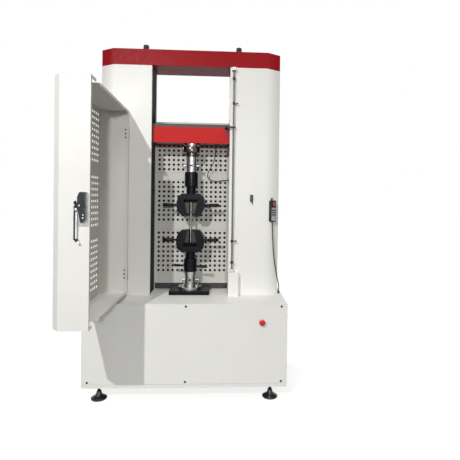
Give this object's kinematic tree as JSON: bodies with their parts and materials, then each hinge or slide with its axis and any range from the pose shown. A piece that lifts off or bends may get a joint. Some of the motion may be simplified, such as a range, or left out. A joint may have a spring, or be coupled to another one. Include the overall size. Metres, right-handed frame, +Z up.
{
  "type": "universal testing machine",
  "caption": "Floor-standing tensile testing frame with wedge grips, moving crosshead, limit rod, hand pendant and a perforated guard door swung open.",
  "frame": {"origin": "on the floor under the loading axis, midway between the columns", "axes": "+X to the right seen from the front, +Y from the front to the back, +Z up along the loading axis"},
  "size_m": [1.354, 1.4009, 2.466],
  "materials": {
    "white_powder_coat": "satin",
    "crimson_powder_coat": "satin",
    "red_powder_coat": "satin",
    "dark_enamel": "satin",
    "blackened_steel": "satin",
    "machined_steel": "brushed",
    "dark_red_metal": "satin",
    "black_plastic": "matte",
    "red_plastic": "gloss",
    "black_rubber": "matte"
  },
  "bodies": {
    "frame": {"back_panels": "white_powder_coat", "back_rails": "dark_enamel", "base_cover": "white_powder_coat", "base_frame": "dark_enamel", "base_front_panel": "white_powder_coat", "bellows_lower": "black_rubber", "bellows_upper": "black_rubber", "column_fittings": "machined_steel", "crown_cover": "crimson_powder_coat", "grip_base_plate": "blackened_steel", "guide_columns": "machined_steel", "left_column_cover": "white_powder_coat", "levelling_feet": "black_plastic", "limit_switch_box": "white_powder_coat", "load_cell_cable": "black_rubber", "lower_adapter": "machined_steel", "lower_grip_body": "blackened_steel", "machine_screws": "blackened_steel", "panel_fittings": "black_plastic", "pendant_cord": "black_rubber", "pendant_housing": "black_plastic", "right_column_cover": "white_powder_coat", "screw_end_caps": "black_plastic", "servo_drive": "dark_enamel", "servo_motor": "dark_enamel", "specimen": "machined_steel", "timing_belt": "black_rubber", "upper_beam": "dark_enamel"},
    "crosshead": {"crosshead_beam": "dark_enamel", "crosshead_cover": "red_powder_coat", "nuts_and_bushes": "machined_steel", "load_cell": "machined_steel", "upper_adapter": "machined_steel", "upper_grip_body": "blackened_steel", "follower_arm": "machined_steel"},
    "left_screw": {"left_ball_screw": "machined_steel"},
    "right_screw": {"right_ball_screw": "machined_steel"},
    "motor_pulley": {"drive_pulley": "machined_steel"},
    "upper_sleeve": {"upper_lock_sleeve": "blackened_steel"},
    "lower_sleeve": {"lower_lock_sleeve": "blackened_steel"},
    "upper_left_wedge": {"upper_left_jaw": "machined_steel"},
    "upper_right_wedge": {"upper_right_jaw": "machined_steel"},
    "lower_left_wedge": {"lower_left_jaw": "machined_steel"},
    "lower_right_wedge": {"lower_right_jaw": "machined_steel"},
    "rod": {"limit_rod": "machined_steel"},
    "upper_stop": {"upper_stop_collar": "dark_red_metal"},
    "lower_stop": {"lower_stop_collar": "dark_red_metal"},
    "door": {"door_frame": "white_powder_coat", "door_grille": "white_powder_coat", "door_hinge_leaves": "machined_steel", "latch_housing": "black_plastic"},
    "latch": {"latch_lever": "black_plastic"},
    "emergency_stop": {"estop_button": "red_plastic"},
    "pendant_stop": {"pendant_stop_button": "red_plastic"},
    "key_1": {"pendant_key_1": "black_rubber"},
    "key_2": {"pendant_key_2": "black_rubber"},
    "key_3": {"pendant_key_3": "black_rubber"},
    "key_4": {"pendant_key_4": "black_rubber"},
    "key_5": {"pendant_key_5": "black_rubber"},
    "key_6": {"pendant_key_6": "black_rubber"}
  },
  "joints": [
    {"name": "crosshead_slide", "type": "slide", "parent": "frame", "child": "crosshead", "axis": [0, 0, 1], "range_m": [-0.1, 0.145], "deforming": ["bellows_upper", "bellows_lower", "load_cell_cable"]},
    {"name": "left_screw_turn", "type": "hinge", "parent": "frame", "child": "left_screw", "pos_m": [-0.344, 0, 0.9], "axis": [0, 0, 1], "range_deg": [-2400, 3500]},
    {"name": "right_screw_turn", "type": "hinge", "parent": "frame", "child": "right_screw", "pos_m": [0.344, 0, 0.9], "axis": [0, 0, 1], "range_deg": [-2400, 3500]},
    {"name": "motor_pulley_turn", "type": "hinge", "parent": "frame", "child": "motor_pulley", "pos_m": [0, 0.11, 0.5], "axis": [0, 0, 1], "range_deg": [-4800, 7000]},
    {"name": "upper_sleeve_turn", "type": "hinge", "parent": "crosshead", "child": "upper_sleeve", "pos_m": [0, 0, 1.475], "axis": [0, 0, 1], "range_deg": [0, 90]},
    {"name": "lower_sleeve_turn", "type": "hinge", "parent": "frame", "child": "lower_sleeve", "pos_m": [0, 0, 0.84], "axis": [0, 0, 1], "range_deg": [-30, 60]},
    {"name": "upper_left_jaw_slide", "type": "slide", "parent": "crosshead", "child": "upper_left_wedge", "axis": [-0.2079, 0, 0.9781], "range_m": [0, 0.0235]},
    {"name": "upper_right_jaw_slide", "type": "slide", "parent": "crosshead", "child": "upper_right_wedge", "axis": [0.2079, 0, 0.9781], "range_m": [0, 0.0235]},
    {"name": "lower_left_jaw_slide", "type": "slide", "parent": "frame", "child": "lower_left_wedge", "axis": [-0.2079, 0, -0.9781], "range_m": [0, 0.0235]},
    {"name": "lower_right_jaw_slide", "type": "slide", "parent": "frame", "child": "lower_right_wedge", "axis": [0.2079, 0, -0.9781], "range_m": [0, 0.0235]},
    {"name": "limit_rod_slide", "type": "slide", "parent": "frame", "child": "rod", "axis": [0, 0, 1], "range_m": [-0.006, 0.006], "stiffness_N_per_m": 10000, "springref_m": 0.0011},
    {"name": "upper_stop_slide", "type": "slide", "parent": "rod", "child": "upper_stop", "axis": [0, 0, 1], "range_m": [0, 0.12]},
    {"name": "lower_stop_slide", "type": "slide", "parent": "rod", "child": "lower_stop", "axis": [0, 0, 1], "range_m": [-0.12, 0]},
    {"name": "door_hinge", "type": "hinge", "parent": "frame", "child": "door", "pos_m": [-0.44, -0.122, 1.3], "axis": [0, 0, 1], "range_deg": [0, 90]},
    {"name": "latch_hinge", "type": "hinge", "parent": "door", "child": "latch", "pos_m": [-0.501, -1.004, 1.283], "axis": [0, 1, 0], "range_deg": [0, 90]},
    {"name": "emergency_stop_press", "type": "slide", "parent": "frame", "child": "emergency_stop", "axis": [0, 1, 0], "range_m": [0, 0.0045], "stiffness_N_per_m": 1500},
    {"name": "pendant_stop_press", "type": "slide", "parent": "frame", "child": "pendant_stop", "axis": [-0.5145, 0.8575, 0], "range_m": [0, 0.0015], "stiffness_N_per_m": 600},
    {"name": "pendant_key_1_press", "type": "slide", "parent": "frame", "child": "key_1", "axis": [-0.5145, 0.8575, 0], "range_m": [0, 0.0015], "stiffness_N_per_m": 400},
    {"name": "pendant_key_2_press", "type": "slide", "parent": "frame", "child": "key_2", "axis": [-0.5145, 0.8575, 0], "range_m": [0, 0.0015], "stiffness_N_per_m": 400},
    {"name": "pendant_key_3_press", "type": "slide", "parent": "frame", "child": "key_3", "axis": [-0.5145, 0.8575, 0], "range_m": [0, 0.0015], "stiffness_N_per_m": 400},
    {"name": "pendant_key_4_press", "type": "slide", "parent": "frame", "child": "key_4", "axis": [-0.5145, 0.8575, 0], "range_m": [0, 0.0015], "stiffness_N_per_m": 400},
    {"name": "pendant_key_5_press", "type": "slide", "parent": "frame", "child": "key_5", "axis": [-0.5145, 0.8575, 0], "range_m": [0, 0.0015], "stiffness_N_per_m": 400},
    {"name": "pendant_key_6_press", "type": "slide", "parent": "frame", "child": "key_6", "axis": [-0.5145, 0.8575, 0], "range_m": [0, 0.0015], "stiffness_N_per_m": 400}
  ],
  "couplings": [
    {"joint": "left_screw_turn", "follows": "crosshead_slide", "rad_per_m": 392.7},
    {"joint": "right_screw_turn", "follows": "crosshead_slide", "rad_per_m": 392.7},
    {"joint": "motor_pulley_turn", "follows": "crosshead_slide", "rad_per_m": 785.4},
    {"joint": "upper_right_jaw_slide", "follows": "upper_left_jaw_slide", "ratio": 1},
    {"joint": "lower_right_jaw_slide", "follows": "lower_left_jaw_slide", "ratio": 1}
  ]
}
